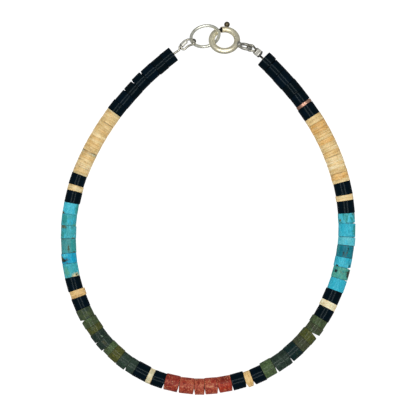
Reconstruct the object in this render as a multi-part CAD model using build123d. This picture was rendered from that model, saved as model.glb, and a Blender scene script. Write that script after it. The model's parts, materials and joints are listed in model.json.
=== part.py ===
from build123d import *
from collections import namedtuple
import math
import os

# A heishi bracelet that lies flat in an open loop on a table. Short stone and shell beads with
# flat ends sit on one beading wire, which is crimped in a loop at each end. The left loop holds
# a jump ring, and the jump ring is caught in a spring ring clasp that the right loop holds.
# Lengths are in millimetres. +Z is up, and Z = 0 is the table.

# Beads
bead_diameter = 3.05
bead_pitch = 2.28      # from one bead of ordinary length to the next
disc_pitch = 0.53      # the same for the thin shell discs
bead_gap = 0.108       # left between neighbours on the inner side of the loop
bead_rounding = 0.08   # worn outer edges of a bead
thin_rounding = 0.12   # the same on a thin disc, as a share of its length
bore_clearance = 0.5   # drilled wider than the wire by this much
uneven_diameter = 0.015    # share by which the beads of a run differ, and thin discs less
uneven_seat = 0.06         # how far beads sit to either side of the wire, and thin discs less
diameter_wave = 2.4        # radians of unevenness from bead to bead
seat_wave = 1.7

# Beading wire and crimps
wire_diameter = 0.4
link_gap = 0.09        # between linked rings and loops
right_loop_slack = 0.08    # by which the loop in the eye is wider
strand_gap = 0.05      # between the two strands in a crimp
crimp_fit = 0.04       # between a strand and the crimp around it
left_crimp_wall = 0.12
left_crimp_length = 1.3
left_crimp_roll = 60.0     # by which its flat side leans up
right_crimp_wall = 0.25
right_crimp_length = 1.35
right_crimp_roll = 0.0
wire_tail = 0.15       # cut end that stands out of a crimp
string_lead = 0.3      # straight wire just outside the end beads
left_crimp_lead = 0.38     # the same at the ends of a crimp
right_crimp_lead = 0.2
bend_share = 0.45      # of the shorter straight run beside a bend, taken up by the bend

# Spring ring
ring_diameter = 6.0
tube_diameter = 1.15
tube_wall = 0.2
ring_tilt = 29.0       # the side with the knob leans down to the table
mouth_angle = 109.0    # where the bolt comes out of the tube
mouth_slant = 20.0     # by which the end of the tube there looks up
socket_angle = 128.0   # where its tip goes in again
knob_angle = 82.0
knob_diameter = 1.09
knob_clearance = 0.06
stem_diameter = 0.3
slot_clearance = 0.05
bolt_clearance = 0.075
bolt_reach = 5.0       # degrees of bolt in the socket
bolt_inside = 50.0     # degrees of bolt behind the knob
bolt_travel = 31.0     # degrees that the knob slides
eye_diameter = 2.75
eye_wire = 0.57
eye_angle = -20.0
eye_twist = -35.0      # turn of the eye out of the ring's own plane
eye_sink = 0.15        # depth of the eye in the wall that it is soldered to
solder_diameter = 1.1
solder_length = 0.42
solder_rounding = 0.12

# Jump ring
jump_diameter = 6.0
jump_wire = 0.6
jump_heading = 14.0    # of its level diameter, seen from above
jump_back = -0.715     # its middle from the spring ring's, as shares of the two radii added up
jump_rise = 0.145

# Places between the two ends of the string
ring_share = 0.556     # of the way from the left end to the right one
ring_rise = 3.08       # outside the line between the two ends
link_side = 194.5      # angle on the jump ring where the left loop holds it
left_crimp_share = 0.365   # of the way from the held wire to the string
left_crimp_out = 0.67
left_crimp_heading = 44.0
right_crimp_share = 0.5
right_crimp_out = 0.24

# The string leaves its left end at this heading and turns through twelve arcs of one length.
# These numbers are a least-squares fit to the string's centre line as traced in the photograph.
start_heading = -143.2
route_turns = [13.9, 16.0, 22.7, 24.7, 30.6, 33.7, 30.3, 28.9, 23.8, 23.7, 18.8, 13.4]

# Chosen points of the wire near the left crimp, measured from the middle of that crimp: one
# where it comes from the string, and two where its end turns back into the crimp.
left_string_points = [(-0.74, -1.2, -0.2)]
left_tail_points = [(0.84, -0.51, 0.25), (0.08, -1.3, 0.12)]

# One row for each run of like beads, in order from the left end. Each pitch is a share of the
# unit pitch of its row, and the diameter is a share of the bead diameter.
Run = namedtuple("Run", "node unit_pitch diameter pitches")
runs = [
    Run("jet_run_left", bead_pitch, 0.99, [1.01, 0.94, 1.12, 0.99, 0.94, 1.07, 0.89]),
    Run("shell_run_left", disc_pitch, 0.98,
        [0.82, 0.89, 0.82, 1.15, 1.22, 0.93, 1.04, 0.86, 1.00, 0.86, 1.14, 0.96, 1.00,
         0.93, 1.07, 1.11, 1.00, 0.86, 0.96, 0.89, 0.93, 0.93, 1.50, 1.07, 1.00, 0.54]),
    Run("jet_bead_1", bead_pitch, 0.99, [0.97]),
    Run("shell_bead_1", bead_pitch, 0.98, [0.51]),
    Run("jet_bead_2", bead_pitch, 0.98, [0.98]),
    Run("turquoise_run_left", bead_pitch, 0.945, [0.95, 0.98, 1.08, 1.21, 0.83, 1.16]),
    Run("jet_bead_3", bead_pitch, 0.97, [1.14]),
    Run("shell_bead_2", bead_pitch, 0.98, [0.60]),
    Run("jet_bead_4", bead_pitch, 0.98, [1.05]),
    Run("green_run_left", bead_pitch, 0.99, [0.92, 0.70, 0.64, 0.69, 0.77, 0.59, 0.85, 0.86, 0.68]),
    Run("jet_bead_5", bead_pitch, 1.0, [1.18]),
    Run("shell_bead_3", bead_pitch, 1.0, [0.46]),
    Run("jet_bead_6", bead_pitch, 1.01, [1.04]),
    Run("coral_run", bead_pitch, 1.02, [1.23, 1.25, 0.88, 1.10, 1.16]),
    Run("jet_bead_7", bead_pitch, 1.02, [1.17]),
    Run("shell_bead_4", bead_pitch, 1.03, [0.60]),
    Run("jet_bead_8", bead_pitch, 1.04, [1.04]),
    Run("green_run_right", bead_pitch, 1.06, [1.05, 0.93, 0.50, 1.07, 0.83, 0.82, 0.74, 0.64]),
    Run("jet_bead_9", bead_pitch, 1.06, [1.02]),
    Run("shell_bead_5", bead_pitch, 1.07, [0.58]),
    Run("jet_bead_10", bead_pitch, 1.06, [1.02]),
    Run("turquoise_run_right", bead_pitch, 1.065, [1.05, 0.99, 0.85, 0.99, 0.70, 1.15, 0.85]),
    Run("jet_bead_11", bead_pitch, 1.07, [1.04]),
    Run("shell_bead_6", bead_pitch, 1.09, [0.48]),
    Run("jet_bead_12", bead_pitch, 1.08, [1.05]),
    Run("shell_run_right", disc_pitch, 1.10,
        [1.27, 1.07, 1.14, 0.89, 1.00, 1.11, 1.04, 1.25, 1.18, 0.96, 1.07, 0.79,
         0.82, 1.38, 0.86, 0.93, 1.04, 0.93, 1.04, 0.96, 1.34, 1.32, 1.21, 1.29]),
    Run("jet_bead_13", bead_pitch, 1.08, [1.11]),
    Run("copper_disc", bead_pitch, 1.06, [0.29]),
    Run("jet_run_right", bead_pitch, 1.06, [0.93, 1.08, 1.10, 1.04, 0.795]),
]

string_length = sum(run.unit_pitch * sum(run.pitches) for run in runs)
arc_length = string_length / len(route_turns)


def route_at(distance):
    """Place, heading in radians and curvature of the string at a distance from its left end."""
    x, y, heading = 0.0, 0.0, math.radians(start_heading)
    for number, turn in enumerate(route_turns):
        curvature = math.radians(turn) / arc_length
        last = number == len(route_turns) - 1
        step = distance if last else min(distance, arc_length)
        end_heading = heading + curvature * step
        x += (math.sin(end_heading) - math.sin(heading)) / curvature
        y -= (math.cos(end_heading) - math.cos(heading)) / curvature
        heading = end_heading
        distance -= step
        if distance <= 0:
            break
    return x, y, heading, curvature


def make_bead(middle, pitch, diameter, shift):
    """One drilled bead, which rests on the table, with its middle at a place on the string."""
    x, y, heading, curvature = route_at(middle)
    radius = diameter / 2
    length = pitch - bead_gap - radius * curvature * pitch
    body = Cylinder(radius, length)
    body = fillet(body.edges().filter_by(GeomType.CIRCLE), min(bead_rounding, thin_rounding * length))
    body -= Cylinder((wire_diameter + bore_clearance) / 2, length)
    along = Vector(math.cos(heading), math.sin(heading), 0)
    side = Vector(-math.sin(heading), math.cos(heading), 0)
    centre = Vector(x, y, radius) + side * shift
    return Plane(origin=centre, x_dir=side, z_dir=along) * body


def make_run(run, start):
    """All beads of one run as loose solids, from a distance along the string."""
    beads = []
    distance = start
    unevenness = run.unit_pitch / bead_pitch
    for number, share in enumerate(run.pitches):
        pitch = share * run.unit_pitch
        wave = unevenness * math.sin(diameter_wave * number + start)
        diameter = run.diameter * bead_diameter * (1 + uneven_diameter * wave)
        shift = unevenness * uneven_seat * math.sin(seat_wave * number + start)
        beads.append(make_bead(distance + pitch / 2, pitch, diameter, shift))
        distance += pitch
    return beads


def turned_part(section, first_angle, last_angle):
    """A section in the XZ plane turned about Z between two angles."""
    return Rot(0, 0, first_angle) * revolve(section, Axis.Z, last_angle - first_angle)


# The spring ring's own plane: X runs to the right end of the string, Y leans down to the table.
ring_radius = (ring_diameter - tube_diameter) / 2
tube_radius = tube_diameter / 2
knob_radius = knob_diameter / 2
bolt_radius = tube_radius - tube_wall - bolt_clearance
knob_distance = ring_radius + tube_radius + knob_clearance + knob_radius
tilt = math.radians(ring_tilt)

right_x, right_y, right_heading, right_curvature = route_at(string_length)
ends_apart = math.hypot(right_x, right_y)
ends_line = Vector(right_x, right_y, 0) / ends_apart
ends_out = Vector(-ends_line.Y, ends_line.X, 0)

ring_height = knob_radius + knob_distance * math.sin(math.radians(knob_angle)) * math.sin(tilt)
ring_middle = ends_line * ends_apart * ring_share + ends_out * ring_rise
ring_centre = Vector(ring_middle.X, ring_middle.Y, ring_height)
ring_plane = Plane(origin=ring_centre, x_dir=(1, 0, 0), z_dir=(0, math.sin(tilt), math.cos(tilt)))


def on_ring(distance, angle):
    """A point in the spring ring's plane, in the frame of the whole."""
    turn = math.radians(angle)
    return ring_plane.from_local_coords(Vector(distance * math.cos(turn), distance * math.sin(turn), 0))


eye_radius = (eye_diameter - eye_wire) / 2
eye_distance = ring_radius + tube_radius - eye_sink + eye_diameter / 2


def make_spring_ring():
    """The bent tube with its mouth, socket and knob slot, and the eye soldered on outside."""
    middle = Pos(ring_radius, 0, 0)
    outside = Plane.XZ * middle * Circle(tube_radius)
    inside = Plane.XZ * middle * Circle(tube_radius - tube_wall)
    tube = turned_part(outside - inside, socket_angle, mouth_angle + 360)
    tube -= Rot(0, 0, mouth_angle) * Pos(ring_radius, 0, -tube_radius) * (
        Rot(mouth_slant, 0, 0) * Box(2 * tube_diameter, tube_radius, 4 * tube_diameter,
                                     align=(Align.CENTER, Align.MIN, Align.CENTER)))
    margin = math.degrees((stem_diameter / 2 + slot_clearance) / ring_radius)
    slot_section = Plane.XZ * Pos(ring_radius + tube_radius, 0, 0) * Rectangle(
        2 * tube_radius, stem_diameter + 2 * slot_clearance)
    tube -= turned_part(slot_section, knob_angle - bolt_travel - margin, knob_angle + margin)
    eye = Pos(eye_distance, 0, 0) * Rot(eye_twist, 0, 0) * Torus(eye_radius, eye_wire / 2)
    solder_middle = ring_radius + tube_radius - eye_sink + solder_length / 2
    solder = Cylinder(solder_diameter / 2, solder_length)
    solder = fillet(solder.edges().group_by(Axis.Z)[-1], solder_rounding)
    solder = Pos(solder_middle, 0, 0) * Rot(0, 90, 0) * solder
    solder -= Torus(ring_radius, tube_radius - eye_sink)
    return ring_plane * (tube + Rot(0, 0, eye_angle) * (eye + solder))


def make_bolt():
    """The curved bolt in the tube, with its stem through the slot and the knob on it."""
    section = Plane.XZ * Pos(ring_radius, 0, 0) * Circle(bolt_radius)
    rod = turned_part(section, knob_angle - bolt_inside, socket_angle + bolt_reach)
    stem_length = knob_distance - ring_radius
    stem = Pos(ring_radius + stem_length / 2, 0, 0) * Rot(0, 90, 0) * Cylinder(
        stem_diameter / 2, stem_length)
    knob = Pos(knob_distance, 0, 0) * Sphere(knob_radius)
    return ring_plane * (rod + Rot(0, 0, knob_angle) * (stem + knob))


# The jump ring stands on the table with one edge, passes over the spring ring's tube beside the
# socket, and goes down through the ring and under its left side.
jump_radius = (jump_diameter - jump_wire) / 2
jump_wire_radius = jump_wire / 2
socket_point = on_ring(ring_radius, socket_angle)
jump_height = socket_point.Z + tube_radius + jump_wire_radius + link_gap
jump_tilt = math.asin((jump_height - jump_wire_radius) / jump_radius)
jump_centre = Vector(ring_centre.X, ring_centre.Y, jump_height) + (
    Vector(jump_back, jump_rise, 0) * (ring_radius + jump_radius))
jump_turn = math.radians(jump_heading)
jump_level = Vector(math.cos(jump_turn), math.sin(jump_turn), 0)
jump_rising = Vector(
    -math.sin(jump_turn) * math.cos(jump_tilt),
    math.cos(jump_turn) * math.cos(jump_tilt),
    math.sin(jump_tilt))
jump_plane = Plane(origin=jump_centre, x_dir=jump_level, z_dir=jump_level.cross(jump_rising))

# Where the two loops of the wire hold the jump ring and the eye.
wire_radius = wire_diameter / 2
strand_offset = (wire_diameter + strand_gap) / 2
link_turn = math.radians(link_side)
left_link = jump_centre + jump_level * jump_radius * math.cos(link_turn) + (
    jump_rising * jump_radius * math.sin(link_turn))
left_link_line = jump_level * -math.sin(link_turn) + jump_rising * math.cos(link_turn)
right_link = on_ring(eye_distance + eye_radius, eye_angle)
eye_turn = math.radians(eye_angle)
twist = math.radians(eye_twist)
right_link_line = (
    ring_plane.x_dir * -math.sin(eye_turn) + ring_plane.y_dir * math.cos(eye_turn)
) * math.cos(twist) + ring_plane.z_dir * math.sin(twist)
loop_corners = 5
loop_step = 45.0   # degrees round a held wire from one corner to the next


def loop_points(link, link_line, crimp_middle, held_radius):
    """Corners of a wire loop round a held wire, from the strand below it to the one above."""
    radius = held_radius + wire_radius + link_gap
    reach = link - crimp_middle
    out = (reach - link_line * reach.dot(link_line)).normalized()
    across = link_line.cross(out)
    corner = radius / math.cos(math.radians(loop_step / 2))
    turns = [math.radians(loop_step * (number - loop_corners // 2)) for number in range(loop_corners)]
    return [link + (out * math.cos(turn) + across * math.sin(turn)) * corner for turn in turns]


def crimp_plane(middle, along, roll):
    """The plane across a crimp, whose X runs from the string's strand to the cut end's."""
    level = along.cross(Vector(0, 0, 1)).normalized()
    upper = level.cross(along)
    lean = math.radians(roll)
    return Plane(origin=middle, x_dir=level * math.cos(lean) + upper * math.sin(lean), z_dir=along)


def crimp_strand(plane, side, first, last):
    """Two points of a strand that lies to one side in a crimp, at two heights along it."""
    return [plane.from_local_coords(Vector(side * strand_offset, 0, z)) for z in (first, last)]


def make_crimp(plane, length, wall):
    """A flattened tube with an oval hole for two strands."""
    hole = wire_diameter + 2 * crimp_fit
    wide = hole + 2 * strand_offset
    body = SlotOverall(wide + 2 * wall, hole + 2 * wall) - SlotOverall(wide, hole)
    return plane * Pos(0, 0, -length / 2) * extrude(body, length)


def round_path(points):
    """Straight runs through points, joined by arcs as large as the runs beside them allow."""
    radii = []
    for before, corner, after in zip(points, points[1:], points[2:]):
        turn = math.radians((corner - before).get_angle(after - corner))
        shorter = min((corner - before).length, (after - corner).length)
        radii.append(bend_share * shorter / math.tan(turn / 2))
    return FilletPolyline(*points, radius=radii).edges()


wire_height = bead_diameter / 2
string_start = Vector(0, 0, wire_height)
string_end = Vector(right_x, right_y, wire_height)
left_lead = string_start - Vector(
    math.cos(math.radians(start_heading)), math.sin(math.radians(start_heading)), 0) * string_lead
right_lead = string_end + Vector(math.cos(right_heading), math.sin(right_heading), 0) * string_lead

left_span = string_start - left_link
left_out = Vector(0, 0, 1).cross(Vector(left_span.X, left_span.Y, 0)).normalized() * -1
left_crimp_middle = left_link + left_span * left_crimp_share + left_out * left_crimp_out
left_crimp_along = Vector(
    math.cos(math.radians(left_crimp_heading)), math.sin(math.radians(left_crimp_heading)), 0)
left_crimp_plane = crimp_plane(left_crimp_middle, left_crimp_along, left_crimp_roll)

right_span = string_end - right_link
right_out = Vector(0, 0, 1).cross(Vector(right_span.X, right_span.Y, 0)).normalized()
right_crimp_middle = right_link + right_span * right_crimp_share + right_out * right_crimp_out
right_crimp_plane = crimp_plane(
    right_crimp_middle, right_span.normalized() * -1, right_crimp_roll)


def wire_path():
    """The wire's own line from one cut end to the other, with a crimped loop at each end."""
    left_half = left_crimp_length / 2 + left_crimp_lead
    right_half = right_crimp_length / 2 + right_crimp_lead
    left_strand = crimp_strand(left_crimp_plane, -1, -left_half, left_half)
    left_cut = crimp_strand(left_crimp_plane, 1, left_crimp_length / 2 + wire_tail, -left_half)
    right_strand = crimp_strand(right_crimp_plane, -1, -right_half, right_half)
    right_cut = crimp_strand(right_crimp_plane, 1, right_half, -right_crimp_length / 2 - wire_tail)
    left_loop = loop_points(left_link, left_link_line, left_crimp_middle, jump_wire_radius)
    right_loop = loop_points(
        right_link, right_link_line, right_crimp_middle, eye_wire / 2 + right_loop_slack)
    left_corners = [left_crimp_middle + Vector(*point) for point in left_tail_points]
    left_bend = [left_crimp_middle + Vector(*point) for point in left_string_points]
    left_path = round_path(
        left_cut + left_corners[::-1] + left_loop[::-1] + left_strand[::-1] + left_bend
        + [left_lead, string_start])
    right_path = round_path([string_end, right_lead] + right_strand + right_loop + right_cut)
    arcs = []
    for number in range(len(route_turns)):
        places = [route_at((number + part) * arc_length) for part in (0, 0.5, 1)]
        arcs.append(ThreePointArc(*[(x, y, wire_height) for x, y, heading, curvature in places]))
    return Wire(left_path + [arc.edge() for arc in arcs] + right_path)


def make_wire():
    """One wire through all beads."""
    path = wire_path()
    start = Plane(origin=path @ 0, z_dir=path % 0)
    wire = sweep(start * Circle(wire_radius), path=path)
    print("wire length", path.length, "volume", wire.volume,
          "section by length", math.pi * wire_radius ** 2 * path.length)
    return wire


parts = {}
distance = 0.0
for run in runs:
    parts[run.node] = make_run(run, distance)
    distance += run.unit_pitch * sum(run.pitches)
parts["beading_wire"] = [make_wire()]
parts["crimp_left"] = [make_crimp(left_crimp_plane, left_crimp_length, left_crimp_wall)]
parts["crimp_right"] = [make_crimp(right_crimp_plane, right_crimp_length, right_crimp_wall)]
parts["jump_ring"] = [jump_plane * Torus(jump_radius, jump_wire_radius)]
parts["spring_ring"] = [make_spring_ring()]
parts["bolt"] = [make_bolt()]

# The origin is on the table under the middle of the whole.
box = Compound([solid for solids in parts.values() for solid in solids]).bounding_box()
to_origin = Pos(-box.center().X, -box.center().Y, 0)

os.makedirs("parts", exist_ok=True)
for node, solids in parts.items():
    moved = [to_origin * solid for solid in solids]
    whole = moved[0] if len(moved) == 1 else Compound(moved)
    export_step(whole, f"parts/{node}.step")

print("bolt pivot", (to_origin * Pos(ring_centre)).position, "axis", ring_plane.z_dir)
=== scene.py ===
import json
import math
import random
from collections import namedtuple

import bpy
from mathutils import Matrix, Vector, noise


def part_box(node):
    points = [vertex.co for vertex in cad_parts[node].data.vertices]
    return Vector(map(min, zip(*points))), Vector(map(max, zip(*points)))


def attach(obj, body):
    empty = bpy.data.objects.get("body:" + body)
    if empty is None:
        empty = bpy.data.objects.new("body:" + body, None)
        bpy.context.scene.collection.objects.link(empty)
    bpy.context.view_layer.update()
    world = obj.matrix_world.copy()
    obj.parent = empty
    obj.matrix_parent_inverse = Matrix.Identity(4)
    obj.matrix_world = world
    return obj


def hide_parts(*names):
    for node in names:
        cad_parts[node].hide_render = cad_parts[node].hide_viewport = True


# The look of a heishi bracelet that lies on a pale table: stone and shell beads built one by one
# round the wire, each with tints of its own, and the clasp's solids in worn silver.
# Lengths are in millimetres where they aren't said to be in metres, and MM turns them into metres.

MM = 0.001

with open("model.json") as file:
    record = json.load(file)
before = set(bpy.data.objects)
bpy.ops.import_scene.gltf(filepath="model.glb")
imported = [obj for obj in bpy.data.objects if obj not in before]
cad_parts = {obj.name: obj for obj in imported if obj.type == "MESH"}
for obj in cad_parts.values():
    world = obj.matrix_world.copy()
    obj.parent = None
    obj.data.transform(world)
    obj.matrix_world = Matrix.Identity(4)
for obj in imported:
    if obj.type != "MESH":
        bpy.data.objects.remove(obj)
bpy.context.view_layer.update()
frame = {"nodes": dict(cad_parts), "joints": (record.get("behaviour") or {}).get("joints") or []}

# The chart of the string, as in the part's source
BEAD_DIAMETER = 3.05
BEAD_PITCH = 2.28
DISC_PITCH = 0.53
UNEVEN_DIAMETER = 0.015
UNEVEN_SEAT = 0.06
DIAMETER_WAVE = 2.4
SEAT_WAVE = 1.7
# A least-squares fit to the string's centre line as traced in the photograph
START_HEADING = -143.2
ROUTE_TURNS = [13.9, 16.0, 22.7, 24.7, 30.6, 33.7, 30.3, 28.9, 23.8, 23.7, 18.8, 13.4]
KEY_NODE = "copper_disc"   # the one bead by whose box the chart is laid over the solids

Run = namedtuple("Run", "node stone unit_pitch diameter pitches")
RUNS = [
    Run("jet_run_left", "jet", BEAD_PITCH, 0.99, [1.01, 0.94, 1.12, 0.99, 0.94, 1.07, 0.89]),
    Run("shell_run_left", "shell", DISC_PITCH, 0.98,
        [0.82, 0.89, 0.82, 1.15, 1.22, 0.93, 1.04, 0.86, 1.00, 0.86, 1.14, 0.96, 1.00,
         0.93, 1.07, 1.11, 1.00, 0.86, 0.96, 0.89, 0.93, 0.93, 1.50, 1.07, 1.00, 0.54]),
    Run("jet_bead_1", "jet", BEAD_PITCH, 0.99, [0.97]),
    Run("shell_bead_1", "shell", BEAD_PITCH, 0.98, [0.51]),
    Run("jet_bead_2", "jet", BEAD_PITCH, 0.98, [0.98]),
    Run("turquoise_run_left", "turquoise", BEAD_PITCH, 0.945, [0.95, 0.98, 1.08, 1.21, 0.83, 1.16]),
    Run("jet_bead_3", "jet", BEAD_PITCH, 0.97, [1.14]),
    Run("shell_bead_2", "shell", BEAD_PITCH, 0.98, [0.60]),
    Run("jet_bead_4", "jet", BEAD_PITCH, 0.98, [1.05]),
    Run("green_run_left", "green_stone", BEAD_PITCH, 0.99,
        [0.92, 0.70, 0.64, 0.69, 0.77, 0.59, 0.85, 0.86, 0.68]),
    Run("jet_bead_5", "jet", BEAD_PITCH, 1.0, [1.18]),
    Run("shell_bead_3", "shell", BEAD_PITCH, 1.0, [0.46]),
    Run("jet_bead_6", "jet", BEAD_PITCH, 1.01, [1.04]),
    Run("coral_run", "coral_shell", BEAD_PITCH, 1.02, [1.23, 1.25, 0.88, 1.10, 1.16]),
    Run("jet_bead_7", "jet", BEAD_PITCH, 1.02, [1.17]),
    Run("shell_bead_4", "shell", BEAD_PITCH, 1.03, [0.60]),
    Run("jet_bead_8", "jet", BEAD_PITCH, 1.04, [1.04]),
    Run("green_run_right", "green_stone", BEAD_PITCH, 1.06,
        [1.05, 0.93, 0.50, 1.07, 0.83, 0.82, 0.74, 0.64]),
    Run("jet_bead_9", "jet", BEAD_PITCH, 1.06, [1.02]),
    Run("shell_bead_5", "shell", BEAD_PITCH, 1.07, [0.58]),
    Run("jet_bead_10", "jet", BEAD_PITCH, 1.06, [1.02]),
    Run("turquoise_run_right", "turquoise", BEAD_PITCH, 1.065,
        [1.05, 0.99, 0.85, 0.99, 0.70, 1.15, 0.85]),
    Run("jet_bead_11", "jet", BEAD_PITCH, 1.07, [1.04]),
    Run("shell_bead_6", "shell", BEAD_PITCH, 1.09, [0.48]),
    Run("jet_bead_12", "jet", BEAD_PITCH, 1.08, [1.05]),
    Run("shell_run_right", "shell", DISC_PITCH, 1.10,
        [1.27, 1.07, 1.14, 0.89, 1.00, 1.11, 1.04, 1.25, 1.18, 0.96, 1.07, 0.79,
         0.82, 1.38, 0.86, 0.93, 1.04, 0.93, 1.04, 0.96, 1.34, 1.32, 1.21, 1.29]),
    Run("jet_bead_13", "jet", BEAD_PITCH, 1.08, [1.11]),
    Run("copper_disc", "copper", BEAD_PITCH, 1.06, [0.29]),
    Run("jet_run_right", "jet", BEAD_PITCH, 1.06, [0.93, 1.08, 1.10, 1.04, 0.795]),
]

# Colours on the scale from 0 to 255, set against readings of the photograph
TINTS = {
    "ink": (0, 1, 2), "jet": (3, 15, 22), "jet_blue": (4, 18, 30), "jet_brown": (8, 15, 19),
    "buff": (229, 198, 138), "honey": (231, 193, 127), "orange": (234, 187, 114),
    "tan": (206, 170, 112), "cream": (239, 209, 150), "pale": (243, 219, 170),
    "khaki": (214, 194, 143), "ash": (202, 193, 154), "ivory": (238, 228, 188),
    "cyan": (76, 192, 212), "blue": (52, 180, 204), "vivid": (22, 164, 200),
    "teal": (50, 152, 150), "lagoon": (62, 168, 176), "reef": (74, 152, 152),
    "sea": (84, 166, 148), "deep": (20, 118, 136), "mist": (96, 194, 206),
    "matrix": (92, 108, 84), "bone": (204, 198, 156), "soot": (30, 38, 38),
    "moss": (70, 82, 56), "olive": (78, 82, 40), "pine": (40, 54, 46), "night": (18, 40, 40),
    "jade": (76, 96, 62), "slate": (50, 66, 56), "bark": (66, 70, 52), "lichen": (138, 164, 134),
    "coral": (156, 54, 40), "rose": (172, 76, 54), "flame": (172, 54, 32), "rust": (108, 30, 24),
    "brick": (130, 44, 32), "sand": (206, 142, 102),
    "brown": (88, 72, 50), "copper": (214, 150, 120),
}

# What one bead looks like: its main and second tint, how much of the second shows, how strong
# its veins are, how dark its ends are (on a shell disc its far end), and up to three spots. A spot
# has its place along the string, its place towards the inner side, its size, how many times longer
# it is along the string than across it, and its tint.
PLAIN_ENDS = 0.2
Look = namedtuple("Look", "tint second share veins ends spots",
                  defaults=(0.4, 0.0, PLAIN_ENDS, ()))

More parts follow.
